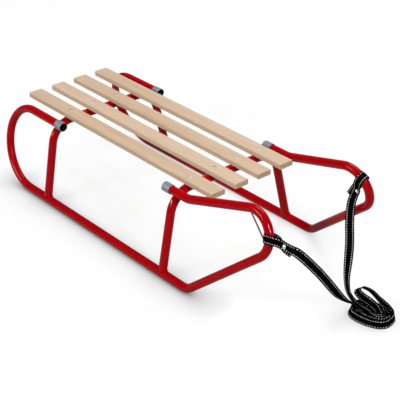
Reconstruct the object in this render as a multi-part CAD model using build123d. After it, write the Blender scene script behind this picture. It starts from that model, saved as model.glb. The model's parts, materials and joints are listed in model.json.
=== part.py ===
from build123d import *
from math import cos, radians, sin, sqrt, tan
import os

# Metal sled: two bent steel runner tubes, two hoops that carry the seat, four wooden slats,
# plastic sleeves on the four tube ends and a webbing pull strap.
# Millimetres. +X is forward, +Y is the rider's left, +Z is up.
# The origin is on the floor under the middle of the sled.

# Tube
TUBE_DIAMETER = 22.0
TUBE_WALL = 1.5
WELD_GAP = 0.1

# Runners, each bent in one flat plane that leans inward towards the seat
OVERALL_LENGTH = 1035.0
TRACK_WIDTH = 420.6
SPLAY_ANGLE = 12.3
STUB_RISE = 214.6
REAR_UPPER_BEND = 95.0
RAMP_ANGLE = 40.7
RAMP_BEND = 48.0
NOSE_LOWER_BEND = 52.0
TOP_BAR_ANGLE = 17.0
KINK_BEND = 60.0
RAMP_AHEAD_OF_HOOP = 101.0
KINK_AHEAD_OF_HOOP = 53.6

# Hoops that join the runners under the seat, their feet a little ahead of their crossbars
REAR_HOOP_FROM_REAR = 205.0
FRONT_HOOP_FROM_FRONT = 336.3
REAR_HOOP_RAKE = 12.5
FRONT_HOOP_RAKE = 7.0
HOOP_DROP = 5.0

# Seat slats
SLAT_COUNT = 4
SLAT_WIDTH = 42.0
SLAT_THICKNESS = 14.5
SLAT_EDGE_RADIUS = 3.0
SLAT_END_RADIUS = 1.2
SLAT_REAR_OVERHANG = 166.3
SLAT_FRONT_OVERHANG = 100.0
SLAT_EDGE_FROM_STUB = 32.0
SLAT_SEAT_GAP = 0.1

# Sleeves on the tube ends
CAP_WALL = 1.2
CAP_LENGTH = 26.0
CAP_FIT = 0.1
REAR_CAP_FROM_HOOP = 14.0
FRONT_CAP_FROM_HOOP = 6.5
CAP_MOUTH = 12.0
CAP_RIM_RADIUS = 0.5

# Pull strap: a loop round each nose, a stretch from each loop and a hank on the floor
STRAP_WIDTH = 22.0
STRAP_THICKNESS = 2.0
STRAP_GAP = 0.2
LOOP_SLACK = 2.6
LOOP_TO_RIVET = 48.0
LOOP_TAB = 12.0
TAB_LEAD = 4.0
LOOP_TIP_RADIUS = 0.3
RIGHT_LOOP_ANGLE = 13.0
RIGHT_LOOP_PULL = 5.0
LEFT_LOOP_ANGLE = 47.7
LEFT_LOOP_PULL = 244.0
BEND_SHARE = 0.45

# Points of the two stretches after their loops, chosen by hand
RIGHT_STRETCH = [
    (588.0, -158.0, 235.0),
    (600.0, -134.0, 206.0),
    (599.0, -94.0, 160.0),
    (594.0, -48.0, 103.0),
    (588.0, 0.0, 48.0),
    (590.0, 34.0, 18.0),
]
LEFT_STRETCH = [
    (457.0, 158.0, 181.0),
    (464.0, 148.0, 140.0),
    (484.0, 131.0, 95.0),
    (512.0, 103.0, 58.0),
    (540.0, 75.0, 31.0),
    (566.0, 58.0, 15.0),
    (590.0, 50.0, 11.0),
]

# Hank: an oval pile of turns on edge, with one loop that stands up from it
HANK_CENTRE = (636.0, 48.0)
HANK_LENGTH = 116.0
HANK_WIDTH = 80.0
HANK_TURN = 12.0
STANDING_LOOP_FOOT = (627.0, 75.0, 17.0)
STANDING_LOOP_TOP = (597.0, 70.0, 50.0)
STANDING_LOOP_WIDTH = 32.0
STANDING_LOOP_WALL = 4.0

# Values worked out from the sizes above
TUBE_RADIUS = TUBE_DIAMETER / 2
BORE_RADIUS = TUBE_RADIUS - TUBE_WALL
LOOP_RADIUS = TUBE_RADIUS + LOOP_SLACK
LEAN = radians(SPLAY_ANGLE)
HALF_TRACK = TRACK_WIDTH / 2
STUB_HEIGHT = TUBE_RADIUS + STUB_RISE * cos(LEAN)
STUB_OFFSET = HALF_TRACK - STUB_RISE * sin(LEAN)
REAR_END_X = TUBE_RADIUS - OVERALL_LENGTH / 2
NOSE_X = OVERALL_LENGTH / 2 - TUBE_RADIUS
REAR_HOOP_X = REAR_HOOP_FROM_REAR - OVERALL_LENGTH / 2
FRONT_HOOP_X = OVERALL_LENGTH / 2 - FRONT_HOOP_FROM_FRONT
RAMP_FOOT_X = FRONT_HOOP_X + RAMP_AHEAD_OF_HOOP
KINK_X = FRONT_HOOP_X + KINK_AHEAD_OF_HOOP
HOOP_HEIGHT = STUB_HEIGHT - HOOP_DROP
HOOP_OFFSET = STUB_OFFSET + HOOP_DROP * tan(LEAN)
SEAT_BOTTOM = HOOP_HEIGHT + TUBE_RADIUS + SLAT_SEAT_GAP
SLAT_LENGTH = FRONT_HOOP_X - REAR_HOOP_X + SLAT_REAR_OVERHANG + SLAT_FRONT_OVERHANG
SLAT_SPREAD = 2 * (STUB_OFFSET - SLAT_EDGE_FROM_STUB) - SLAT_WIDTH
SLAT_PITCH = SLAT_SPREAD / (SLAT_COUNT - 1)
REAR_STUB_X = REAR_HOOP_X + REAR_CAP_FROM_HOOP + CAP_LENGTH - CAP_MOUTH
FRONT_STUB_X = FRONT_HOOP_X - FRONT_CAP_FROM_HOOP - CAP_LENGTH + CAP_MOUTH


def runner_plane(side):
    """Plane of one runner: X forward, Y up the leaning side, from the rail's axis."""
    return Plane(
        origin=(0, side * HALF_TRACK, TUBE_RADIUS),
        x_dir=(1, 0, 0),
        z_dir=(0, -cos(LEAN), -side * sin(LEAN)),
    )


def nose_shape():
    """Rise of the two nose bends' centres and radius of the upper one, tangent to ramp and top bar."""
    ramp = radians(RAMP_ANGLE)
    top = radians(TOP_BAR_ANGLE)
    lower_reach = NOSE_X - NOSE_LOWER_BEND - RAMP_FOOT_X
    rise = (NOSE_LOWER_BEND + sin(ramp) * lower_reach) / cos(ramp)
    upper_bend = (sin(top) * (NOSE_X - KINK_X) - cos(top) * (rise - STUB_RISE)) / (1 + sin(top))
    return rise, upper_bend


def runner_path():
    """Centre line of one runner in its own plane, from the rear stub round to the front stub."""
    rear_lower_bend = STUB_RISE - REAR_UPPER_BEND
    rear_upper = (REAR_END_X + REAR_UPPER_BEND, rear_lower_bend)
    rear_lower = (REAR_END_X + rear_lower_bend, rear_lower_bend)
    nose_rise, nose_upper_bend = nose_shape()
    ramp_bend = (RAMP_FOOT_X - RAMP_BEND * tan(radians(RAMP_ANGLE) / 2), RAMP_BEND)
    nose_lower = (NOSE_X - NOSE_LOWER_BEND, nose_rise)
    nose_upper = (NOSE_X - nose_upper_bend, nose_rise)
    kink = (KINK_X - KINK_BEND * tan(radians(TOP_BAR_ANGLE) / 2), STUB_RISE + KINK_BEND)
    bends = [
        CenterArc(rear_upper, REAR_UPPER_BEND, 90, 90),
        CenterArc(rear_lower, rear_lower_bend, 180, 90),
        CenterArc(ramp_bend, RAMP_BEND, -90, RAMP_ANGLE),
        CenterArc(nose_lower, NOSE_LOWER_BEND, RAMP_ANGLE - 90, 90 - RAMP_ANGLE),
        CenterArc(nose_upper, nose_upper_bend, 0, 90 + TOP_BAR_ANGLE),
        CenterArc(kink, KINK_BEND, TOP_BAR_ANGLE - 90, -TOP_BAR_ANGLE),
    ]
    runs = [
        Line((REAR_STUB_X, STUB_RISE), bends[0] @ 0),
        Line(bends[1] @ 1, bends[2] @ 0),
        Line(bends[2] @ 1, bends[3] @ 0),
        Line(bends[4] @ 1, bends[5] @ 0),
        Line(bends[5] @ 1, (FRONT_STUB_X, STUB_RISE)),
    ]
    return Wire(bends + runs)


def tube(path):
    """Hollow tube along a path of lines and tangent arcs."""
    start = Plane(origin=path @ 0, z_dir=path % 0)
    return sweep(start * (Circle(TUBE_RADIUS) - Circle(BORE_RADIUS)), path=path)


def runner(side):
    """One runner tube."""
    return tube(runner_plane(side).from_local_coords(runner_path()))


def hoop_bend():
    """Radius of a hoop's bends that lets the stubs just touch them from outside."""
    half_turn = radians(90 - SPLAY_ANGLE) / 2
    touch = TUBE_DIAMETER + WELD_GAP
    lift = HOOP_DROP / cos(LEAN)
    square = 1 / cos(half_turn) ** 2 - 1
    slope = touch - lift * tan(half_turn)
    return (slope + sqrt(slope**2 + square * (touch**2 - lift**2))) / square


def hoop(x, rake):
    """Hoop over the sled: leaning legs coped on the rails, and a crossbar that carries the slats."""
    corners = [
        (x + rake, HALF_TRACK, TUBE_RADIUS),
        (x, HOOP_OFFSET, HOOP_HEIGHT),
        (x, -HOOP_OFFSET, HOOP_HEIGHT),
        (x + rake, -HALF_TRACK, TUBE_RADIUS),
    ]
    bent = tube(FilletPolyline(*corners, radius=hoop_bend()))
    for side in (1, -1):
        rail = Plane(origin=(x + rake, side * HALF_TRACK, TUBE_RADIUS), z_dir=(1, 0, 0))
        bent -= rail * Cylinder(TUBE_RADIUS + WELD_GAP, 3 * TUBE_DIAMETER)
    return bent.solids().sort_by(SortBy.VOLUME)[-1]


def slat(index):
    """One seat slat with rounded edges, counted from the rider's right."""
    y = (index - (SLAT_COUNT - 1) / 2) * SLAT_PITCH
    rear = REAR_HOOP_X - SLAT_REAR_OVERHANG
    profile = Plane(origin=(rear, y, SEAT_BOTTOM + SLAT_THICKNESS / 2), x_dir=(0, 1, 0), z_dir=(1, 0, 0))
    board = extrude(profile * RectangleRounded(SLAT_WIDTH, SLAT_THICKNESS, SLAT_EDGE_RADIUS), SLAT_LENGTH)
    ends = board.faces().sort_by(Axis.X)
    return fillet(ends[0].edges() + ends[-1].edges(), SLAT_END_RADIUS)


def cap(stub_x, side, facing):
    """Sleeve pushed over a tube end, open at its mouth. It faces forward (1) or rearward (-1)."""
    start = Plane(
        origin=(stub_x - facing * (CAP_LENGTH - CAP_MOUTH), side * STUB_OFFSET, STUB_HEIGHT),
        z_dir=(facing, 0, 0),
    )
    outer = extrude(Circle(TUBE_RADIUS + CAP_FIT + CAP_WALL), CAP_LENGTH)
    outer = fillet(outer.edges(), CAP_RIM_RADIUS)
    bore = extrude(Circle(TUBE_RADIUS + CAP_FIT), CAP_LENGTH)
    return start * (outer - bore)


def loop_plane(side, angle, pull):
    """Plane across a strap loop at an angle round the upper nose bend, its X along the pull."""
    runner_side = runner_plane(side)
    rise, bend = nose_shape()
    turn = radians(angle)
    way = radians(pull)
    place = Vector(NOSE_X - bend + bend * cos(turn), rise + bend * sin(turn), 0)
    along = runner_side.from_local_coords(Vector(cos(way), sin(way), 0)) - runner_side.origin
    across = runner_side.from_local_coords(Vector(-sin(way), cos(way), 0)) - runner_side.origin
    return Plane(origin=runner_side.from_local_coords(place), x_dir=along, z_dir=across)


def strap_loop(plane):
    """Strap wrapped round a tube, its two layers closed at the rivet and running on as a tab."""
    outer = Circle(LOOP_RADIUS + STRAP_THICKNESS)
    tab = Pos(LOOP_TO_RIVET + LOOP_TAB / 2, 0) * Rectangle(LOOP_TAB, 2 * STRAP_THICKNESS)
    tip = Pos(LOOP_TO_RIVET - STRAP_WIDTH / 2, 0) * Circle(LOOP_TIP_RADIUS)
    inner = Circle(LOOP_RADIUS)
    band = make_hull(outer.edges() + tab.edges()) - make_hull(inner.edges() + tip.edges())
    return extrude(plane * band, STRAP_WIDTH / 2, both=True)


def strap_stretch(plane, chosen):
    """Flat strap from a loop's tab along the chosen points, ending at the hank's outside."""
    start = plane.from_local_coords(Vector(LOOP_TO_RIVET + LOOP_TAB - TAB_LEAD, 0, 0))
    points = [start] + [Vector(*point) for point in chosen]
    runs = [after - before for before, after in zip(points, points[1:])]
    radii = []
    for before, after in zip(runs, runs[1:]):
        half_turn = radians(before.get_angle(after)) / 2
        radii.append(BEND_SHARE * min(before.length, after.length) / tan(half_turn))
    path = FilletPolyline(*points, radius=radii)
    section = Plane(origin=path @ 0, x_dir=plane.z_dir, z_dir=path % 0)
    band = sweep(section * Rectangle(STRAP_WIDTH, STRAP_THICKNESS), path=path)
    print("radii", [round(radius) for radius in radii], f"length {path.length:.0f} mm")
    print(f"volume {band.volume:.0f}, section times length {STRAP_WIDTH * STRAP_THICKNESS * path.length:.0f}")
    cut = 2 * STRAP_WIDTH
    behind = plane * Pos(LOOP_TO_RIVET + LOOP_TAB - cut / 2, 0, 0) * Box(cut, cut, cut)
    return (band - behind - hank_pile(STRAP_GAP)).solids().sort_by(SortBy.VOLUME)[-1]


def hank_pile(margin):
    """Oval outside of the hank's turns, with a margin all round."""
    floor = Plane(origin=(*HANK_CENTRE, 0)).rotated((0, 0, HANK_TURN))
    oval = Ellipse(HANK_LENGTH / 2 + margin, HANK_WIDTH / 2 + margin)
    return extrude(floor * oval, STRAP_WIDTH + margin)


def strap_hank():
    """Hank of strap: the pile of turns and the loop that stands up from it."""
    foot = Vector(*STANDING_LOOP_FOOT)
    top = Vector(*STANDING_LOOP_TOP)
    lean = top - foot
    across = Vector(lean.Y, -lean.X, 0)
    ring = Plane(origin=(foot + top) / 2, x_dir=lean, z_dir=lean.cross(across))
    outline = SlotOverall(lean.length, STANDING_LOOP_WIDTH)
    hole = SlotOverall(lean.length - 2 * STANDING_LOOP_WALL, STANDING_LOOP_WIDTH - 2 * STANDING_LOOP_WALL)
    loop = extrude(ring * (outline - hole), STRAP_WIDTH / 2, both=True)
    return hank_pile(0) + loop


def save(name, solid):
    export_step(solid, f"parts/{name}.step")
    print(f"{name}: {solid.volume:.0f} mm3")


os.makedirs("parts", exist_ok=True)
for side, name in ((1, "left"), (-1, "right")):
    save(f"runner_{name}", runner(side))
    save(f"rear_cap_{name}", cap(REAR_STUB_X, side, 1))
    save(f"front_cap_{name}", cap(FRONT_STUB_X, side, -1))
save("rear_hoop", hoop(REAR_HOOP_X, REAR_HOOP_RAKE))
save("front_hoop", hoop(FRONT_HOOP_X, FRONT_HOOP_RAKE))
for index in range(SLAT_COUNT):
    save(f"slat_{index + 1}", slat(index))

for name, plane, chosen in (
    ("left", loop_plane(1, LEFT_LOOP_ANGLE, LEFT_LOOP_PULL), LEFT_STRETCH),
    ("right", loop_plane(-1, RIGHT_LOOP_ANGLE, RIGHT_LOOP_PULL), RIGHT_STRETCH),
):
    save(f"strap_loop_{name}", strap_loop(plane))
    save(f"strap_{name}", strap_stretch(plane, chosen))
save("strap_hank", strap_hank())
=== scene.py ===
import json
from math import copysign, cos, pi, radians, sin, sqrt

import bmesh
import bpy
from mathutils import Matrix, Vector

# Metal sled: red tube runners and hoops, four beech slats, grey sleeves and a black webbing pull strap
# Metres throughout: +X to the front, +Y to the rider's left, +Z up
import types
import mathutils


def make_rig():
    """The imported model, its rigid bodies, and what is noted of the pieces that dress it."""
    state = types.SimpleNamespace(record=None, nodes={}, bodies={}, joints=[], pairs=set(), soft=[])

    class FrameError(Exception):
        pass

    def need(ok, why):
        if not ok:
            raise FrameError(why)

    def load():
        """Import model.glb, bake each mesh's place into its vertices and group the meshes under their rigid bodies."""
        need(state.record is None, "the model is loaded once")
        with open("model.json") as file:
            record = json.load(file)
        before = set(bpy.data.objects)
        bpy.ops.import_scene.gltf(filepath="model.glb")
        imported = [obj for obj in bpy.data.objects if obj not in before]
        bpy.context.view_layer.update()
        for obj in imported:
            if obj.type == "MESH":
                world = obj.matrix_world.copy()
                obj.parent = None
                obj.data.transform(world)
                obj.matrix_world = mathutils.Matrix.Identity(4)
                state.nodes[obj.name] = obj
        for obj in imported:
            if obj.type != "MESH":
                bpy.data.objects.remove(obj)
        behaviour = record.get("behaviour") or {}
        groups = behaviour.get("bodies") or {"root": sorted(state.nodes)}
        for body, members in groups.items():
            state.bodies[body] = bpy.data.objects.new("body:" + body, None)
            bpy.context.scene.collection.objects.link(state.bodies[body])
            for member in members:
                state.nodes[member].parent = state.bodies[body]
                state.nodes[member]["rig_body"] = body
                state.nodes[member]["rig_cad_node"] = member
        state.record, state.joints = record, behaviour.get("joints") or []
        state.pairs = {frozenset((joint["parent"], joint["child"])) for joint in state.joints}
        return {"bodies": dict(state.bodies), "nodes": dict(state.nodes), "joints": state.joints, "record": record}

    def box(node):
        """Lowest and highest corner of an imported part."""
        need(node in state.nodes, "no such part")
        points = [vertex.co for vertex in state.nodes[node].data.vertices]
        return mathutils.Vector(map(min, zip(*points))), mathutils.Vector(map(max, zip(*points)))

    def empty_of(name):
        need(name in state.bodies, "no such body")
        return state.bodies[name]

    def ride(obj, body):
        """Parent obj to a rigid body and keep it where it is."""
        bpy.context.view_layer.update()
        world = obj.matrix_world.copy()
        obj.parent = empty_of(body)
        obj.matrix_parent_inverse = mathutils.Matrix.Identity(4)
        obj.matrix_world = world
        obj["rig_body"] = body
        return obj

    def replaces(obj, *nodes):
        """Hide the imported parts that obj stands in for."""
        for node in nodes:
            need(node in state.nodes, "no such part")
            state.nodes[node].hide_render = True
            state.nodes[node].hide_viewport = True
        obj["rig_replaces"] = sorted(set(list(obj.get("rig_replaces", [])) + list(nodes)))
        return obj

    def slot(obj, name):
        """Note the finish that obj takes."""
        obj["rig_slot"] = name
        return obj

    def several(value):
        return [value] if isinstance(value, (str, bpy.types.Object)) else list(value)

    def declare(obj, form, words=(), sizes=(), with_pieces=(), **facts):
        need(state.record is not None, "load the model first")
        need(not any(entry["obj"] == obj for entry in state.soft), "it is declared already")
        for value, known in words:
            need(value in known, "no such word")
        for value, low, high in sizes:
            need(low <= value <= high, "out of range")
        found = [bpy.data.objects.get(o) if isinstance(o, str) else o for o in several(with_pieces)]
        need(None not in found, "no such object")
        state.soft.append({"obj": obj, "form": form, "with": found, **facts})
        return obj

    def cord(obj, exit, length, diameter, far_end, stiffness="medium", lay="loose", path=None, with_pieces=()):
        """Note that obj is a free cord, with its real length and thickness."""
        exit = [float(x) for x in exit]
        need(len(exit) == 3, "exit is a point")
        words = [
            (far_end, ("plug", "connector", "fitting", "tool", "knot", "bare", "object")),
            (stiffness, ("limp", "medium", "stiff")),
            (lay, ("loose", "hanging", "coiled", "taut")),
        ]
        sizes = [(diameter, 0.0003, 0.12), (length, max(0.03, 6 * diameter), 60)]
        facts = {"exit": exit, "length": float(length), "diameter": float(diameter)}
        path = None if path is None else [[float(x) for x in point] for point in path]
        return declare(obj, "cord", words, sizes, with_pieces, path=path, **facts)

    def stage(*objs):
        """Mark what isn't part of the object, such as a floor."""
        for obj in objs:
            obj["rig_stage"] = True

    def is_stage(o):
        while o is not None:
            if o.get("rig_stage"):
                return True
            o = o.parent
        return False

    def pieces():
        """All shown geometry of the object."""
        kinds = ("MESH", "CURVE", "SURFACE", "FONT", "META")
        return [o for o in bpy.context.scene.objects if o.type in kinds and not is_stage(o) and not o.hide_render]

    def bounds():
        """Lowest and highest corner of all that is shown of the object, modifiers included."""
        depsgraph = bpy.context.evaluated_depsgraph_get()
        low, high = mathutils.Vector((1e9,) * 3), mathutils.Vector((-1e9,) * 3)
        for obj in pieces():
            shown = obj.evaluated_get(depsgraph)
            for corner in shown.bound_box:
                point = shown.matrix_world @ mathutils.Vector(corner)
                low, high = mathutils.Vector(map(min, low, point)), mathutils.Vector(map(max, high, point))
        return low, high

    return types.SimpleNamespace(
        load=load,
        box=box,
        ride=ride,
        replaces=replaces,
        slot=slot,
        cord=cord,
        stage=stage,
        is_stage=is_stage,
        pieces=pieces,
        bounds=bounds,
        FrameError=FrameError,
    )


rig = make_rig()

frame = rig.load()
cad_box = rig.bounds()
scene = bpy.context.scene
scene.view_settings.view_transform = "Standard"

# CAD nodes by kind
RUNNERS = ("runner_left", "runner_right")
HOOPS = ("rear_hoop", "front_hoop")
SLATS = ("slat_1", "slat_2", "slat_3", "slat_4")
SLEEVES = ("rear_cap_left", "rear_cap_right", "front_cap_left", "front_cap_right")

# Sizes of the frame's tube and bends, as in its source
# A hoop's feet stand ahead of its crossbar by its rake
TUBE_RADIUS = 0.0110
LEAN = radians(12.3)
NOSE_BEND = 0.05985
NOSE_RISE = 0.2168
HOOP_RAKES = (0.0125, 0.0070)
HOOP_CORNER = 0.16567
HOOP_BEND = 0.06619
HOOP_BEND_MIDDLE = (0.11235, 0.14948)


# Places read from the frame

def tenths(length):
    """A length measured on a mesh, to a tenth of a millimetre."""
    return round(length, 4)


runner_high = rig.box("runner_left")[1]
HALF_TRACK = tenths(runner_high.y - TUBE_RADIUS)
NOSE_X = tenths(runner_high.x - TUBE_RADIUS)

HOOP_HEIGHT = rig.box("front_hoop")[1].z - TUBE_RADIUS
HOOP_PLACES = [tenths(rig.box(hoop)[0].x + TUBE_RADIUS) for hoop in HOOPS]

rear_sleeve_low, rear_sleeve_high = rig.box("rear_cap_left")
front_sleeve_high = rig.box("front_cap_left")[1]
STUB_OFFSET = (rear_sleeve_low.y + rear_sleeve_high.y) / 2
STUB_HEIGHT = (rear_sleeve_low.z + rear_sleeve_high.z) / 2
SLEEVE_OUTSIDE = (rear_sleeve_high.z - rear_sleeve_low.z) / 2
SLEEVE_LIP = 0.0005
SLEEVED_X = (rear_sleeve_low.x + SLEEVE_LIP, front_sleeve_high.x - SLEEVE_LIP)

slat_low, slat_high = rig.box("slat_1")
SLAT_TOP = slat_high.z
SLAT_HALF_LENGTH = (slat_high.x - slat_low.x) / 2
SLAT_MIDDLE_X = (slat_high.x + slat_low.x) / 2
SLAT_END_DEPTH = 0.0007

# Strap
STRAP_WIDTH = 0.022
STRAP_THICKNESS = 0.0017
STRAP_COLUMNS = 6
STRAP_EDGE = 0.0004
STRAP_LENGTH = 2.05
WRAP_RADIUS = 0.0130
WRAP_CORNER = WRAP_RADIUS / cos(radians(22.5))
WRAP_ANGLES = (112.5, 157.5, 202.5, 247.5)
LAYER_GAP = 0.00005
LAYER = STRAP_THICKNESS / 2 + LAYER_GAP

# Hank: an oval of turns on edge, from the inside out by angle; most of its turns stand, some lean out or in
HANK_PLACE = (0.6375, 0.0485)
HANK_TURN = radians(12)
HANK_HALF_LENGTH = 0.0548
HANK_HALF_WIDTH = 0.0400
HANK_TAPER = 0.40
HANK_PITCH = 0.0086
HANK_FIRST = -420
HANK_OUTER = 540
HANK_LAST = 690
HANK_STEP = 30
HANK_SQUARENESS = 0.82
HANK_LEANS = {
    180: 0.2, 210: 0.2, 240: 0.2,
    540: -0.35, 570: -0.35, 600: -0.25, 630: -0.1, 660: -0.1, 690: -0.2,
}
FLOOR_GAP = 0.0003
ON_EDGE = STRAP_WIDTH / 2 + FLOOR_GAP

UP = Vector((0, 0, 1))


# Camera

CAMERA_PLACE = (2.0824, -1.7216, 1.5914)
CAMERA_AXES = ((0.6539, 0.7566, -0.0022), (-0.3725, 0.3245, 0.8694), (0.6585, -0.5677, 0.4940))
CAMERA_LENS = 106.58
CAMERA_SENSOR = 36.0
CAMERA_REACH = 30.0

camera_data = bpy.data.cameras.new("camera")
camera_data.lens = CAMERA_LENS
camera_data.sensor_width = CAMERA_SENSOR
camera_data.clip_end = CAMERA_REACH
camera = bpy.data.objects.new("camera", camera_data)
camera.matrix_world = Matrix.Translation(CAMERA_PLACE) @ Matrix(CAMERA_AXES).transposed().to_4x4()
scene.collection.objects.link(camera)
scene.camera = camera


# Making pieces

def nurbs_curve(points, cyclic=False, radii=None):
    """A smooth curve pulled by the given control points."""
    curve = bpy.data.curves.new("line", "CURVE")
    curve.dimensions = "3D"
    curve.resolution_u = 8
    spline = curve.splines.new("NURBS")
    spline.points.add(len(points) - 1)
    for number, point in enumerate(points):
        spline.points[number].co = (*point, 1)
        spline.points[number].radius = radii[number] if radii else 1.0
    spline.order_u = 3
    spline.use_cyclic_u = cyclic
    spline.use_endpoint_u = not cyclic
    return curve


def curve_mesh(curve):
    """The mesh that a curve makes; the curve itself is removed."""
    carrier = bpy.data.objects.new("line", curve)
    mesh = bpy.data.meshes.new_from_object(carrier)
    bpy.data.objects.remove(carrier)
    bpy.data.curves.remove(curve)
    return mesh


def nurbs_line(points):
    """Points along the smooth line that the control points pull."""
    mesh = curve_mesh(nurbs_curve(points))
    line = [vertex.co.copy() for vertex in mesh.vertices]
    bpy.data.meshes.remove(mesh)
    return line


def rod(points, radius, cyclic=False, radii=None):
    """A round rod along a smooth line, as a mesh; radii swell it from point to point."""
    curve = nurbs_curve(points, cyclic, radii)
    curve.bevel_depth = radius
    curve.bevel_resolution = 3
    curve.use_fill_caps = not cyclic
    return curve_mesh(curve)


def piece(name, shape, slot):
    """A new object of the sled from a bmesh, riding on its only body."""
    mesh = bpy.data.meshes.new(name)
    for face in shape.faces:
        face.smooth = True
    shape.to_mesh(mesh)
    shape.free()
    made = bpy.data.objects.new(name, mesh)
    scene.collection.objects.link(made)
    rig.ride(made, "root")
    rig.slot(made, slot)
    return made


def turned(profile, steps):
    """A closed shape spun about Z from (radius, height) points that start and end on the axis."""
    shape = bmesh.new()
    corners = [shape.verts.new((radius, 0, height)) for radius, height in profile]
    edges = [shape.edges.new(pair) for pair in zip(corners, corners[1:])]
    bmesh.ops.spin(shape, geom=corners + edges, cent=(0, 0, 0), axis=(0, 0, 1), dvec=(0, 0, 0),
                   angle=2 * pi, steps=steps, use_merge=True)
    bmesh.ops.remove_doubles(shape, verts=shape.verts, dist=1e-6)
    bmesh.ops.recalc_face_normals(shape, faces=shape.faces)
    return shape


def add_copy(target, source, matrix):
    """Adds a copy of one bmesh to another, moved by a matrix."""
    mesh = bpy.data.meshes.new("copy")
    source.to_mesh(mesh)
    mesh.transform(matrix)
    target.from_mesh(mesh)
    bpy.data.meshes.remove(mesh)


# Pull strap: a flat ribbon whose route gives control points, each with the direction of the width there

def loop_frame(side, angle, pull):
    """Where the strap goes round a nose: x along its pull, y through the loop, z along its width.

    The angle is a place on the nose's bend and the pull is the strap's slope, in degrees up from ahead.
    """
    ahead = Vector((1, 0, 0))
    rise = Vector((0, -side * sin(LEAN), cos(LEAN)))
    reach = NOSE_X - NOSE_BEND + NOSE_BEND * cos(radians(angle))
    height = NOSE_RISE + NOSE_BEND * sin(radians(angle))
    centre = Vector((0, side * HALF_TRACK, TUBE_RADIUS)) + reach * ahead + height * rise
    along = cos(radians(pull)) * ahead + sin(radians(pull)) * rise
    width = cos(radians(pull)) * rise - sin(radians(pull)) * ahead
    axes = Matrix((along, width.cross(along), width)).transposed()
    return Matrix.Translation(centre) @ axes.to_4x4()


def near(loop, *places):
    """Control points beside a loop, with the loop's own direction of width."""
    width = loop.col[2].to_3d()
    return [(loop @ Vector(place), width) for place in places]


def wrap(loop):
    """Control points round the tube, from the tail's side to the standing side."""
    turns = [radians(angle) for angle in WRAP_ANGLES]
    corners = [(WRAP_CORNER * cos(turn), WRAP_CORNER * sin(turn), 0) for turn in turns]
    return near(loop, (0, WRAP_RADIUS, 0), *corners)


def in_hank(along, across, height):
    """A place in the hank's own oval."""
    x = HANK_PLACE[0] + along * cos(HANK_TURN) - across * sin(HANK_TURN)
    y = HANK_PLACE[1] + along * sin(HANK_TURN) + across * cos(HANK_TURN)
    return Vector((x, y, height))


def tipped(along, across, lean):
    """Upright direction of width, leaning out of the oval."""
    outward = in_hank(along, across, 0) - in_hank(0, 0, 0)
    return UP + lean * outward.normalized()


def squarish(share):
    """A cosine or sine that makes the oval a little square."""
    return copysign(abs(share) ** HANK_SQUARENESS, share)


def hank_turns():
    """Control points of the hank's turns, on edge; the oval tapers to the rear on its far side."""
    turns = []
    for angle in range(HANK_FIRST, HANK_LAST + 1, HANK_STEP):
        ahead = cos(radians(angle))
        aside = sin(radians(angle))
        inset = HANK_PITCH * max(0, HANK_OUTER - angle) / 360
        taper = HANK_TAPER * (1 - ahead) / 2 if aside > 0 else 0
        along = (HANK_HALF_LENGTH - inset) * squarish(ahead)
        across = (HANK_HALF_WIDTH * (1 - taper) - inset) * squarish(aside)
        lean = HANK_LEANS.get(angle, 0.0)
        turns.append((in_hank(along, across, ON_EDGE), tipped(along, across, lean)))
    return turns


right_loop = loop_frame(side=-1, angle=13.0, pull=5)
left_loop = loop_frame(side=1, angle=47.7, pull=244)

right_standing = near(
    right_loop,
    (0.020, -0.0120, 0.003),
    (0.034, -0.0055, 0.002),
    (0.046, -LAYER, -0.002),
    (0.058, -LAYER, -0.003),
    (0.070, -LAYER, -0.004),
)
right_stretch = [
    ((0.588, -0.160, 0.239), (0.00, 0.35, 0.93)),
    ((0.599, -0.147, 0.223), (0.10, 0.60, 0.77)),
    ((0.601, -0.124, 0.196), (0.16, 0.74, 0.64)),
    ((0.599, -0.092, 0.159), (0.19, 0.76, 0.62)),
    ((0.594, -0.050, 0.106), (0.35, 0.60, 0.70)),
    ((0.589, -0.014, 0.061), (0.62, 0.00, 0.75)),
    ((0.587, 0.014, 0.033), (0.64, -0.40, 0.62)),
    ((0.595, 0.031, 0.025), (0.50, -0.45, 0.72)),
]
into_hank = [
    (in_hank(-0.027, -0.003, 0.022), (0.10, -0.20, 1.00)),
    (in_hank(-0.010, -0.006, 0.013), UP),
]
out_of_hank = [
    (in_hank(0.0523, 0.002, ON_EDGE), tipped(1.0, 0.0, -0.20)),
    (in_hank(0.0485, 0.022, 0.013), tipped(1.0, 0.4, -0.25)),
]
standing_loop = [
    ((0.660, 0.085, 0.016), (-0.05, -0.10, 1.00)),
    ((0.646, 0.082, 0.024), (0.15, -0.10, 1.00)),
    ((0.629, 0.078, 0.034), (0.35, -0.20, 0.90)),
    ((0.612, 0.077, 0.043), (0.58, -0.25, 0.75)),
    ((0.597, 0.074, 0.047), (0.66, -0.32, 0.62)),
    ((0.584, 0.067, 0.049), (0.72, -0.15, 0.60)),
    ((0.584, 0.050, 0.046), (0.75, 0.15, 0.50)),
    ((0.601, 0.050, 0.038), (0.58, 0.35, 0.87)),
    ((0.620, 0.055, 0.032), (0.40, 0.39, 0.94)),
    ((0.638, 0.059, 0.024), (0.20, 0.30, 0.95)),
    ((0.650, 0.059, 0.015), UP),
]
inner_turn = [
    ((0.661, 0.057, ON_EDGE), UP),
    ((0.664, 0.052, ON_EDGE), UP),
    ((0.658, 0.047, ON_EDGE), UP),
    ((0.643, 0.043, 0.012), UP),
    ((0.626, 0.034, 0.020), (0.05, -0.10, 1.00)),
    ((0.609, 0.028, 0.029), (0.20, -0.20, 0.95)),
]
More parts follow.
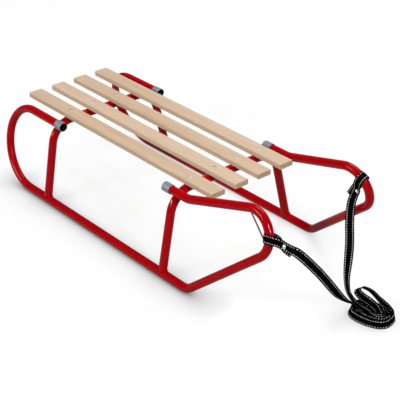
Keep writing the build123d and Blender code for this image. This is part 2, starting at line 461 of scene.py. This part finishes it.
left_stretch = [
    ((0.592, 0.031, 0.033), (0.30, -0.25, 0.92)),
    ((0.574, 0.041, 0.031), (0.40, -0.30, 0.86)),
    ((0.554, 0.054, 0.033), (0.60, -0.12, 0.70)),
    ((0.531, 0.074, 0.042), (0.70, 0.05, 0.60)),
    ((0.507, 0.103, 0.065), (0.72, 0.45, 0.30)),
    ((0.484, 0.131, 0.099), (0.70, 0.71, 0.05)),
    ((0.463, 0.148, 0.141), (0.654, 0.757, 0.00)),
    ((0.454, 0.160, 0.183), (0.68, 0.73, -0.05)),
]
left_standing = near(
    left_loop,
    (0.076, -0.0012, 0.0),
    (0.058, -LAYER, 0.0),
    (0.046, -LAYER, 0.0),
    (0.034, -0.0055, 0.0),
    (0.020, -0.0120, 0.0),
)

strap_route = wrap(right_loop) + right_standing + right_stretch + into_hank + hank_turns() + out_of_hank
strap_route += standing_loop + inner_turn + left_stretch + left_standing + wrap(left_loop)[::-1]

right_tail_route = near(
    right_loop,
    (0.000, WRAP_RADIUS, 0.0),
    (0.006, WRAP_RADIUS, 0.0),
    (0.020, 0.0115, -0.001),
    (0.034, 0.0050, -0.004),
    (0.046, LAYER, -0.007),
    (0.058, LAYER, -0.009),
    (0.068, LAYER, -0.011),
)
left_tail_route = near(
    left_loop,
    (0.000, WRAP_RADIUS, 0.0),
    (0.006, WRAP_RADIUS, 0.0),
    (0.020, 0.0115, -0.001),
    (0.034, 0.0050, -0.004),
    (0.048, LAYER, -0.006),
    (0.064, LAYER, -0.008),
    (0.087, LAYER, -0.011),
)


def ribbon(name, route):
    """The webbing along a route, with a UV map in metres: along the strap, and across from its middle."""
    line = nurbs_line([point for point, width in route])
    widths = nurbs_line([width for point, width in route])
    last = len(line) - 1
    run = [0.0]
    for before, after in zip(line, line[1:]):
        run.append(run[-1] + (after - before).length)
    sides = []
    for step, width in enumerate(widths):
        forward = (line[min(step + 1, last)] - line[max(step - 1, 0)]).normalized()
        sides.append((width - width.dot(forward) * forward).normalized())
    strip = bmesh.new()
    bmesh.ops.create_grid(strip, x_segments=last, y_segments=STRAP_COLUMNS, size=1)
    flat = {}
    for vertex in strip.verts:
        step = round((vertex.co.x + 1) / 2 * last)
        across = vertex.co.y * STRAP_WIDTH / 2
        flat[vertex] = (run[step], across)
        vertex.co = line[step] + across * sides[step]
    unwrapped = strip.loops.layers.uv.new("webbing")
    for face in strip.faces:
        for corner in face.loops:
            corner[unwrapped].uv = flat[corner.vert]
    made = piece(name, strip, "strap")
    wall = made.modifiers.new("thickness", "SOLIDIFY")
    wall.thickness = STRAP_THICKNESS
    wall.offset = 0
    edge = made.modifiers.new("rounded edges", "BEVEL")
    edge.width = STRAP_EDGE
    edge.segments = 2
    edge.limit_method = "ANGLE"
    edge.angle_limit = radians(60)
    return made, line


strap, strap_line = ribbon("pull_strap", strap_route)
right_tail, _ = ribbon("strap_tail_right", right_tail_route)
left_tail, _ = ribbon("strap_tail_left", left_tail_route)


# Rivets through the strap's two layers: a domed head to the outside, a rolled end behind
# Each place is a loop, the distance along its pull and the height across its width

RIVET_PLACES = ((right_loop, 0.047, -0.003), (left_loop, 0.052, 0.0025))
RIVET_HEAD = 0.0055
RIVET_ROLL = 0.0042
RIVET_SHANK = 0.0020
RIVET_STEPS = 28

rivet_profile = [
    (0.0, -STRAP_THICKNESS - 0.0022),
    (0.45 * RIVET_HEAD, -STRAP_THICKNESS - 0.0020),
    (0.78 * RIVET_HEAD, -STRAP_THICKNESS - 0.0014),
    (0.97 * RIVET_HEAD, -STRAP_THICKNESS - 0.0006),
    (RIVET_HEAD, -STRAP_THICKNESS - 0.0001),
    (0.90 * RIVET_HEAD, -STRAP_THICKNESS),
    (RIVET_SHANK, -STRAP_THICKNESS),
    (RIVET_SHANK, STRAP_THICKNESS),
    (0.95 * RIVET_ROLL, STRAP_THICKNESS),
    (RIVET_ROLL, STRAP_THICKNESS + 0.0004),
    (0.85 * RIVET_ROLL, STRAP_THICKNESS + 0.0009),
    (0.55 * RIVET_ROLL, STRAP_THICKNESS + 0.0009),
    (0.40 * RIVET_ROLL, STRAP_THICKNESS + 0.0003),
    (0.0, STRAP_THICKNESS + 0.0001),
]
rivets = bmesh.new()
rivet = turned(rivet_profile, RIVET_STEPS)
stand_through = Matrix.Rotation(radians(-90), 4, "X")
for loop, reach, height in RIVET_PLACES:
    add_copy(rivets, rivet, loop @ Matrix.Translation((reach, 0, height)) @ stand_through)
rivet.free()
strap_rivets = piece("strap_rivets", rivets, "strap")


# Tie thread from the right top bar's underside to the back of the strap's loop

THREAD_RADIUS = 0.0018
THREAD_ENDS = (Vector((0.4383, -0.1538, 0.2702)), Vector((0.4905, -0.1634, 0.2262)))
THREAD_SHARES = (0, 0.33, 0.67, 1)

thread = bmesh.new()
thread_mesh = rod([THREAD_ENDS[0].lerp(THREAD_ENDS[1], share) for share in THREAD_SHARES], THREAD_RADIUS)
thread.from_mesh(thread_mesh)
bpy.data.meshes.remove(thread_mesh)
tie_thread = piece("tie_thread", thread, "strap")

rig.cord(
    strap, exit=strap_line[0], length=STRAP_LENGTH, diameter=STRAP_WIDTH, far_end="object",
    stiffness="limp", lay="loose", path=strap_line, with_pieces=[right_tail, left_tail, strap_rivets],
)
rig.replaces(strap, "strap_left", "strap_right", "strap_hank", "strap_loop_left", "strap_loop_right")


# Screws: low heads with a cross recess, through every slat into both hoops
# The side of a head goes out and down by shares of its radius and height, to just inside the wood

SCREW_RADIUS = 0.0055
SCREW_HEIGHT = 0.0012
SCREW_CROWN = 0.72
SCREW_SIDE = ((0.90, 0.85), (0.98, 0.60), (1.0, 0.35), (1.0, -0.25))
SCREW_SEGMENTS = 24
CROSS_ARM = 0.0030
CROSS_HALF_WIDTH = 0.0008
CROSS_DEPTH = 0.0010
CROSS_NARROWING = 0.7
SLAT_SPIN = 37
HOOP_SPIN = 23


def open_edges(geometry):
    """The edges among extruded geometry that have a face on one side only."""
    return [item for item in geometry if isinstance(item, bmesh.types.BMEdge) and item.is_boundary]


def screw_head():
    """A closed head at z 0, seated a little below it, with a cross recess cut into its flat crown."""
    head = bmesh.new()
    crown = bmesh.ops.create_circle(head, radius=SCREW_CROWN * SCREW_RADIUS, segments=SCREW_SEGMENTS)
    ring = list({edge for vertex in crown["verts"] for edge in vertex.link_edges})
    arm, half = CROSS_ARM, CROSS_HALF_WIDTH
    quarter = [(half, half), (half, arm), (-half, arm)]
    cross = []
    for turn in range(4):
        spun = Matrix.Rotation(radians(90 * turn), 3, "Z")
        cross += [head.verts.new(spun @ Vector((x, y, 0))) for x, y in quarter]
    cross_edges = [head.edges.new(pair) for pair in zip(cross, cross[1:] + cross[:1])]
    bmesh.ops.triangle_fill(head, use_beauty=True, edges=ring + cross_edges)
    inside = [face for face in head.faces if face.calc_center_median().length < half]
    bmesh.ops.delete(head, geom=inside, context="FACES_KEEP_BOUNDARY")
    walls = bmesh.ops.extrude_edge_only(head, edges=cross_edges)["geom"]
    low_verts = [item for item in walls if isinstance(item, bmesh.types.BMVert)]
    bmesh.ops.translate(head, verts=low_verts, vec=(0, 0, -CROSS_DEPTH))
    bmesh.ops.scale(head, verts=low_verts, vec=(CROSS_NARROWING, CROSS_NARROWING, 1))
    bmesh.ops.triangle_fill(head, use_beauty=True, edges=open_edges(walls))
    bmesh.ops.translate(head, verts=head.verts, vec=(0, 0, SCREW_HEIGHT))
    for radius, height in SCREW_SIDE:
        ring = open_edges(bmesh.ops.extrude_edge_only(head, edges=ring)["geom"])
        for vertex in {vertex for edge in ring for vertex in edge.verts}:
            flat = vertex.co.to_2d().normalized() * radius * SCREW_RADIUS
            vertex.co = (flat.x, flat.y, height * SCREW_HEIGHT)
    bmesh.ops.contextual_create(head, geom=ring)
    bmesh.ops.recalc_face_normals(head, faces=head.faces)
    return head


screws = bmesh.new()
screw = screw_head()
for row, hoop_x in enumerate(HOOP_PLACES):
    for number, slat in enumerate(SLATS):
        low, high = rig.box(slat)
        spin = Matrix.Rotation(radians(SLAT_SPIN * number + HOOP_SPIN * row), 4, "Z")
        add_copy(screws, screw, Matrix.Translation((hoop_x, (low.y + high.y) / 2, SLAT_TOP)) @ spin)
screw.free()
slat_screws = piece("slat_screws", screws, "frame")


# Weld beads: a rippled saddle round each hoop foot, and a small ring where a stub rests in a hoop's bend

BEAD_RADIUS = 0.0021
BEAD_POINTS = 56
BEAD_RIPPLE = 0.10
BEAD_SPREAD = 1.04
SADDLE_DIP = 0.05
TOUCH_RING = 0.0068
TOUCH_LIFT = 0.0011


def bead_ring(place):
    """A closed bead through the places that a function gives for each angle round it."""
    angles = [2 * pi * number / BEAD_POINTS for number in range(BEAD_POINTS)]
    radii = [1 + BEAD_RIPPLE * (-1) ** number for number in range(BEAD_POINTS)]
    return rod([place(angle) for angle in angles], BEAD_RADIUS, True, radii)


def foot_bead(hoop_x, rake, side):
    """The saddle where a hoop's leg meets the runner's lower tube."""
    foot = Vector((hoop_x + rake, side * HALF_TRACK, TUBE_RADIUS))
    leg = (Vector((hoop_x, side * HOOP_CORNER, HOOP_HEIGHT)) - foot).normalized()
    across = leg.cross(Vector((1, 0, 0))).normalized()
    ahead = across.cross(leg)

    def place(angle):
        height = TUBE_RADIUS * sqrt(cos(angle) ** 2 + SADDLE_DIP)
        round_leg = TUBE_RADIUS * (cos(angle) * ahead + sin(angle) * across)
        return foot + BEAD_SPREAD * (round_leg + height * leg)

    return bead_ring(place)


def touch_bead(hoop_x, side):
    """The ring of weld in the gap round the spot where a stub touches the hoop."""
    bend = Vector((hoop_x, side * HOOP_BEND_MIDDLE[0], HOOP_BEND_MIDDLE[1]))
    to_stub = (Vector((hoop_x, side * STUB_OFFSET, STUB_HEIGHT)) - bend).normalized()
    middle = bend + (HOOP_BEND + TUBE_RADIUS) * to_stub
    along_hoop = to_stub.cross(Vector((1, 0, 0)))

    def place(angle):
        flat = TOUCH_RING * (cos(angle) * Vector((1, 0, 0)) + sin(angle) * along_hoop)
        return middle + flat - TOUCH_LIFT * cos(2 * angle) * to_stub

    return bead_ring(place)


beads = bmesh.new()
for hoop_x, rake in zip(HOOP_PLACES, HOOP_RAKES):
    for side in (-1, 1):
        for bead in (foot_bead(hoop_x, rake, side), touch_bead(hoop_x, side)):
            beads.from_mesh(bead)
            bpy.data.meshes.remove(bead)
weld_beads = piece("weld_beads", beads, "frame")


# Materials

class Shade:
    """A shader socket. Python's operators on it add Math nodes, and node() adds any other."""

    def __init__(self, tree, socket=None):
        self.tree = tree
        self.socket = socket

    def node(self, kind, settings=None, sockets=None, out=0):
        made = self.tree.nodes.new(kind)
        for name, value in (settings or {}).items():
            if name == "stops":
                self.set_stops(made.color_ramp, value)
            else:
                setattr(made, name, value)
        for name, value in (sockets or {}).items():
            if isinstance(value, Shade):
                self.tree.links.new(value.socket, made.inputs[name])
            else:
                made.inputs[name].default_value = value
        return Shade(self.tree, made.outputs[out])

    @staticmethod
    def set_stops(ramp, stops):
        while len(ramp.elements) < len(stops):
            ramp.elements.new(1.0)
        for element, (position, colour) in zip(ramp.elements, stops):
            element.position = position
            element.color = colour

    def maths(self, operation, *values):
        return self.node("ShaderNodeMath", {"operation": operation}, dict(enumerate(values)))

    def __add__(self, other):
        return self.maths("ADD", self, other)

    __radd__ = __add__

    def __sub__(self, other):
        return self.maths("SUBTRACT", self, other)

    def __rsub__(self, other):
        return self.maths("SUBTRACT", other, self)

    def __mul__(self, other):
        return self.maths("MULTIPLY", self, other)

    __rmul__ = __mul__

    def __mod__(self, other):
        return self.maths("FLOORED_MODULO", self, other)

    def __lt__(self, other):
        return self.maths("LESS_THAN", self, other)

    def __gt__(self, other):
        return self.maths("GREATER_THAN", self, other)

    def __abs__(self):
        return self.maths("ABSOLUTE", self)

    def sine(self):
        return self.maths("SINE", self)

    def larger(self, other):
        return self.maths("MAXIMUM", self, other)

    def raised(self, power):
        return self.maths("POWER", self, power)

    def mix(self, first, second):
        """One of two colours, or between them, by this value."""
        return self.node("ShaderNodeMix", {"data_type": "RGBA"}, {0: self, 6: first, 7: second}, 2)

    def parts(self):
        """The X, Y and Z of a vector."""
        split = self.node("ShaderNodeSeparateXYZ", {}, {0: self})
        outputs = split.socket.node.outputs
        return [Shade(self.tree, outputs[axis]) for axis in range(3)]

    def scaled(self, scale):
        return self.node("ShaderNodeMapping", {}, {"Vector": self, "Scale": scale})

    def noise(self, scale, detail=3.0, roughness=0.5):
        sockets = {"Vector": self, "Scale": scale, "Detail": detail, "Roughness": roughness}
        return self.node("ShaderNodeTexNoise", {}, sockets)


def new_finish(name):
    """A material with a Principled shader: its first Shade for adding nodes, and its shader node."""
    made = bpy.data.materials.new(name)
    made.use_nodes = True
    tree = made.node_tree
    return made, Shade(tree), tree.nodes["Principled BSDF"]


def feed(shader, **values):
    """Links or sets the Principled shader's sockets by name, with _ for a space."""
    for name, value in values.items():
        socket = shader.inputs[name.replace("_", " ")]
        if isinstance(value, Shade):
            value.tree.links.new(value.socket, socket)
        else:
            socket.default_value = value


def bump(shade, height, distance, strength):
    return shade.node("ShaderNodeBump", {}, {"Height": height, "Distance": distance, "Strength": strength})


def object_place(shade):
    return shade.node("ShaderNodeTexCoord", {}, {}, 3)


def round_stub(place):
    """Distance of a place from the axis of the sleeved tube ends, the same on both sides."""
    _, y, z = place.parts()
    beside = abs(y) - STUB_OFFSET
    above = z - STUB_HEIGHT
    return place.maths("SQRT", beside * beside + above * above)


def red_paint():
    """Gloss enamel: faint orange peel, slowly drifting tone, and near black painted shade inside the tube ends."""
    made, shade, shader = new_finish("red_paint")
    place = object_place(shade)
    x = place.parts()[0]
    drift = place.noise(9.0, 2.0)
    peel = place.noise(420.0, 2.0)
    scuff = place.noise(60.0, 5.0, 0.65)
    red = drift.mix((0.41, 0.0, 0.002, 1), (0.47, 0.0, 0.004, 1))
    # Near black within the sleeved tube ends is painted shade of the deep, unlit tube mouths
    sleeved = (x > SLEEVED_X[0]) * (x < SLEEVED_X[1]) * (round_stub(place) < TUBE_RADIUS)
    colour = sleeved.mix(red, (0.004, 0.003, 0.003, 1))
    feed(
        shader, Base_Color=colour, Roughness=0.08 + 0.05 * scuff, Specular_IOR_Level=0.06,
        Normal=bump(shade, peel, 0.00005, 0.2),
    )
    return made


def beech():
    """Oiled beech along X: broad bands, fine pores and short darker flecks."""
    made, shade, shader = new_finish("beech")
    place = object_place(shade)
    board = place.scaled((0.4, 13.0, 0.0)).noise(1.0, 0.0)
    bands = place.scaled((2.2, 60.0, 60.0)).noise(1.0, 4.0, 0.6)
    fibre = place.scaled((9.0, 300.0, 300.0)).noise(1.0, 5.0, 0.65)
    fleck = place.scaled((220.0, 1500.0, 1500.0)).noise(1.0, 1.0)
    tone = 0.40 * bands + 0.40 * fibre + 0.30 * board
    stops = [
        (0.36, (0.51, 0.355, 0.22, 1)),
        (0.55, (0.61, 0.44, 0.295, 1)),
        (0.74, (0.68, 0.51, 0.365, 1)),
    ]
    colour = shade.node("ShaderNodeValToRGB", {"stops": stops}, {"Fac": tone})
    flecked = (0.30 * (fleck > 0.63)).mix(colour, (0.40, 0.25, 0.14, 1))
    x = place.parts()[0]
    end_grain = abs(x - SLAT_MIDDLE_X) > SLAT_HALF_LENGTH - SLAT_END_DEPTH
    coloured = (0.6 * end_grain).mix(flecked, (0.53, 0.36, 0.225, 1))
    feed(
        shader, Base_Color=coloured, Roughness=0.48 + 0.18 * fibre, Specular_IOR_Level=0.25,
        Normal=bump(shade, fibre, 0.00012, 0.5),
    )
    return made


def sleeve_plastic():
    """Grey moulded sleeve with a fine satin texture, and near black painted shade inside its bore."""
    made, shade, shader = new_finish("sleeve_plastic")
    place = object_place(shade)
    cloud = place.noise(40.0, 3.0)
    fine = place.noise(1400.0, 2.0)
    grey = cloud.mix((0.17, 0.20, 0.23, 1), (0.24, 0.27, 0.30, 1))
    # The bore is the same grey plastic; its near black colour is painted shade of the deep mouth
    inside = round_stub(place) < (TUBE_RADIUS + SLEEVE_OUTSIDE) / 2
    colour = inside.mix(grey, (0.006, 0.006, 0.007, 1))
    feed(
        shader, Base_Color=colour, Roughness=0.42 + 0.16 * fine, Specular_IOR_Level=0.3,
        Normal=bump(shade, fine, 0.00006, 0.5),
    )
    return made


WEAVE = 0.0013
TRACER_INSET = 0.0038
TRACER_WIDTH = 0.0018
DASH_PERIOD = 0.0062
DASH_LENGTH = 0.0028


def webbing():
    """Black woven strap with a dashed white tracer yarn inside each edge."""
    made, shade, shader = new_finish("webbing")
    flat = shade.node("ShaderNodeUVMap", {"uv_map": "webbing"})
    along, across, _ = flat.parts()
    rib = (along * (2 * pi / WEAVE)).sine()
    yarn = (across * (2 * pi / WEAVE)).sine()
    weave = 0.5 + 0.5 * rib * yarn
    fuzz = flat.noise(900.0, 3.0)
    from_tracer = abs(abs(across) - (STRAP_WIDTH / 2 - TRACER_INSET))
    in_dash = ((along + DASH_LENGTH / 2) % DASH_PERIOD) < DASH_LENGTH
    tracer = in_dash * (from_tracer < TRACER_WIDTH / 2)
    black = (0.6 * weave + 0.4 * fuzz).mix((0.001, 0.001, 0.0012, 1), (0.005, 0.005, 0.0055, 1))
    colour = tracer.mix(black, (0.80, 0.80, 0.78, 1))
    feed(
        shader, Base_Color=colour, Roughness=0.85 - 0.10 * weave, Specular_IOR_Level=0.0,
        Normal=bump(shade, weave + 0.8 * tracer, 0.00025, 0.8),
    )
    return made


DARK_PLATING = Vector((0.85, 0.84, 0.82))
LIGHT_PLATING = Vector((1.15, 1.14, 1.10))


def plating(name, grey, roughness):
    """Plated steel of a given grey, with a faint warm cloud and fine handling marks."""
    made, shade, shader = new_finish(name)
    place = object_place(shade)
    cloud = place.noise(300.0, 3.0)
    marks = place.scaled((500.0, 3000.0, 1500.0)).noise(1.0, 3.0)
    colour = cloud.mix((*grey * DARK_PLATING, 1), (*grey * LIGHT_PLATING, 1))
    feed(
        shader, Base_Color=colour, Metallic=1.0, Roughness=roughness + 0.15 * marks,
        Normal=bump(shade, marks, 0.00003, 0.5),
    )
    return made


TWIST = 3600.0


def twisted_thread():
    """Dark waxed thread with a fine twist."""
    made, shade, shader = new_finish("twisted_thread")
    place = object_place(shade)
    x, y, z = place.parts()
    twist = ((x + y + 2.0 * z) * TWIST).sine()
    colour = (0.5 + 0.5 * twist).mix((0.060, 0.003, 0.004, 1), (0.160, 0.008, 0.010, 1))
    feed(shader, Base_Color=colour, Roughness=0.6 + 0.1 * twist, Normal=bump(shade, twist, 0.0001, 0.5))
    return made


def dress(finish, *names_or_pieces):
    """Gives one finish to CAD nodes, by name, and to new pieces."""
    for item in names_or_pieces:
        dressed = frame["nodes"][item] if isinstance(item, str) else item
        dressed.data.materials.clear()
        dressed.data.materials.append(finish)


dress(red_paint(), *RUNNERS, *HOOPS, weld_beads)
dress(beech(), *SLATS)
dress(sleeve_plastic(), *SLEEVES)
dress(webbing(), strap, right_tail, left_tail)
dress(plating("zinc", 0.32, 0.42), slat_screws)
dress(plating("nickel", 0.55, 0.16), strap_rivets)
dress(twisted_thread(), tie_thread)


# Floor, light and surroundings

FLOOR_HALF = 8.0
FLOOR_GLOW = 0.85
WORLD_COLOUR = (0.95, 0.97, 1.0, 1)
WORLD_STRENGTH = 0.18

# Contact shading: its reach, and its depth from a near place to a far place across the floor
CONTACT_REACH = 0.08
CONTACT_NEAR_Y = -0.16
CONTACT_NEAR_DEPTH = 1.5
CONTACT_FAR_Y = 0.04
CONTACT_FAR_DEPTH = 0.3


def studio_floor():
    """White to the camera, darker close to what touches it; greyer as a source of bounced light."""
    made = bpy.data.materials.new("studio_floor")
    made.use_nodes = True
    tree = made.node_tree
    tree.nodes.clear()
    shade = Shade(tree)
    by_camera = shade.node("ShaderNodeLightPath")
    rays = by_camera.socket.node.outputs
    by_gloss = Shade(tree, rays["Is Glossy Ray"])
    through_glass = Shade(tree, rays["Is Transmission Ray"])
    seen = by_camera.larger(by_gloss).larger(through_glass)
    place = object_place(shade)
    paper = place.noise(3.0, 2.0).mix((0.96, 0.96, 0.96, 1), (0.98, 0.98, 0.98, 1))
    lit = shade.node("ShaderNodeBsdfDiffuse", {}, {"Color": paper})
    openness = shade.node("ShaderNodeAmbientOcclusion", {"samples": 16}, {"Distance": CONTACT_REACH}, 1)
    across_floor = {
        "Value": place.parts()[1],
        "From Min": CONTACT_NEAR_Y,
        "From Max": CONTACT_FAR_Y,
        "To Min": CONTACT_NEAR_DEPTH,
        "To Max": CONTACT_FAR_DEPTH,
    }
    depth = shade.node("ShaderNodeMapRange", {}, across_floor)
    contact = openness.raised(depth).mix((0, 0, 0, 1), (1, 1, 1, 1))
    glow = shade.node("ShaderNodeEmission", {}, {"Color": contact, "Strength": 1.0})
    bounce = shade.node("ShaderNodeBsdfDiffuse", {}, {"Color": (0.25, 0.25, 0.25, 1)})
    white = shade.node("ShaderNodeMixShader", {}, {0: FLOOR_GLOW, 1: lit, 2: glow})
    both = shade.node("ShaderNodeMixShader", {}, {0: seen, 1: bounce, 2: white})
    output = tree.nodes.new("ShaderNodeOutputMaterial")
    tree.links.new(both.socket, output.inputs["Surface"])
    return made


floor_shape = bmesh.new()
bmesh.ops.create_grid(floor_shape, x_segments=1, y_segments=1, size=FLOOR_HALF)
floor_mesh = bpy.data.meshes.new("floor")
floor_shape.to_mesh(floor_mesh)
floor_shape.free()
floor = bpy.data.objects.new("floor", floor_mesh)
scene.collection.objects.link(floor)
floor.data.materials.append(studio_floor())
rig.stage(floor)

world = bpy.data.worlds.new("studio")
world.use_nodes = True
background = world.node_tree.nodes["Background"]
background.inputs["Color"].default_value = WORLD_COLOUR
background.inputs["Strength"].default_value = WORLD_STRENGTH
scene.world = world


def softbox(name, place, aim, size, energy, roll=0.0, only_gloss=False):
    """A rectangular studio lamp that faces a point; one for gloss alone shows only in reflections."""
    lamp = bpy.data.lights.new(name, "AREA")
    lamp.shape = "RECTANGLE"
    lamp.size, lamp.size_y = size
    lamp.energy = energy
    made = bpy.data.objects.new(name, lamp)
    way = Vector(aim) - Vector(place)
    facing = way.to_track_quat("-Z", "Y").to_matrix().to_4x4() @ Matrix.Rotation(roll, 4, "Z")
    made.matrix_world = Matrix.Translation(place) @ facing
    made.visible_diffuse = not only_gloss
    scene.collection.objects.link(made)


softbox("left_box", place=(-0.55, -2.50, 1.62), aim=(0.3, 0.0, 0.2), size=(0.75, 0.26), energy=42.0)
softbox("right_box", place=(3.00, -0.55, 1.95), aim=(0.3, 0.0, 0.2), size=(0.30, 0.75), energy=52.0)
softbox("top_box", place=(-0.9, 2.6, 4.0), aim=(0.0, 0.0, 0.0), size=(2.8, 2.8), energy=155.0)
softbox(
    "left_strip", place=(-2.3, -4.9, 2.8), aim=(0.0, 0.0, 0.15), size=(2.6, 0.15), energy=800.0,
    roll=radians(-15), only_gloss=True,
)
softbox(
    "right_strip", place=(5.0, -1.1, 3.6), aim=(0.1, 0.0, 0.15), size=(0.15, 3.0), energy=1000.0,
    only_gloss=True,
)

visual_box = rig.bounds()
with open("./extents.json", "w") as size_file:
    boxes = {"cad": [list(corner) for corner in cad_box], "visual": [list(corner) for corner in visual_box]}
    json.dump(boxes, size_file)
